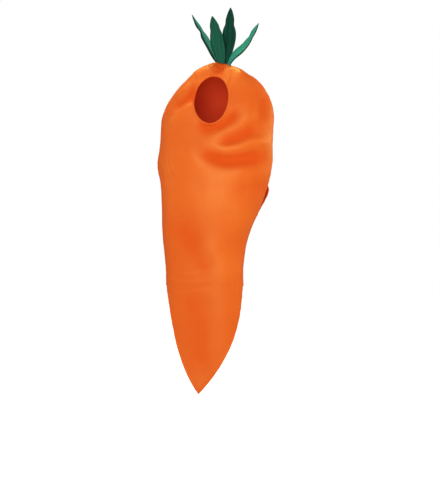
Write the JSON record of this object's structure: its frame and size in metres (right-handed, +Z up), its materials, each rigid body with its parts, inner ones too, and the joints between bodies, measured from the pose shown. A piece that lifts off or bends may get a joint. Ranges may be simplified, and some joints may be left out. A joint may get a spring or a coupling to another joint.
{
  "type": "carrot costume",
  "caption": "Pull-on carrot costume of padded orange cloth: a domed hood with a face opening, a tapering body with armholes and pointed flaps, and a tuft of green cloth leaves.",
  "frame": {"origin": "inside the top of the hood, at the point where the crown of the wearer's head carries the costume", "axes": "+Z up along the wearer, towards the leaves; -Y is the way the face opening looks; +X is the wearer's left"},
  "size_m": [0.5052, 0.29, 1.6282],
  "materials": {
    "orange_cloth": "satin face of foam-backed knit cloth",
    "green_cloth": "soft satin face of foam-backed knit cloth"
  },
  "bodies": {
    "root": {"body_front": "orange_cloth", "body_back": "orange_cloth", "leaf_left": "green_cloth", "leaf_front": "green_cloth", "leaf_back": "green_cloth", "leaf_right": "green_cloth"}
  },
  "joints": []
}
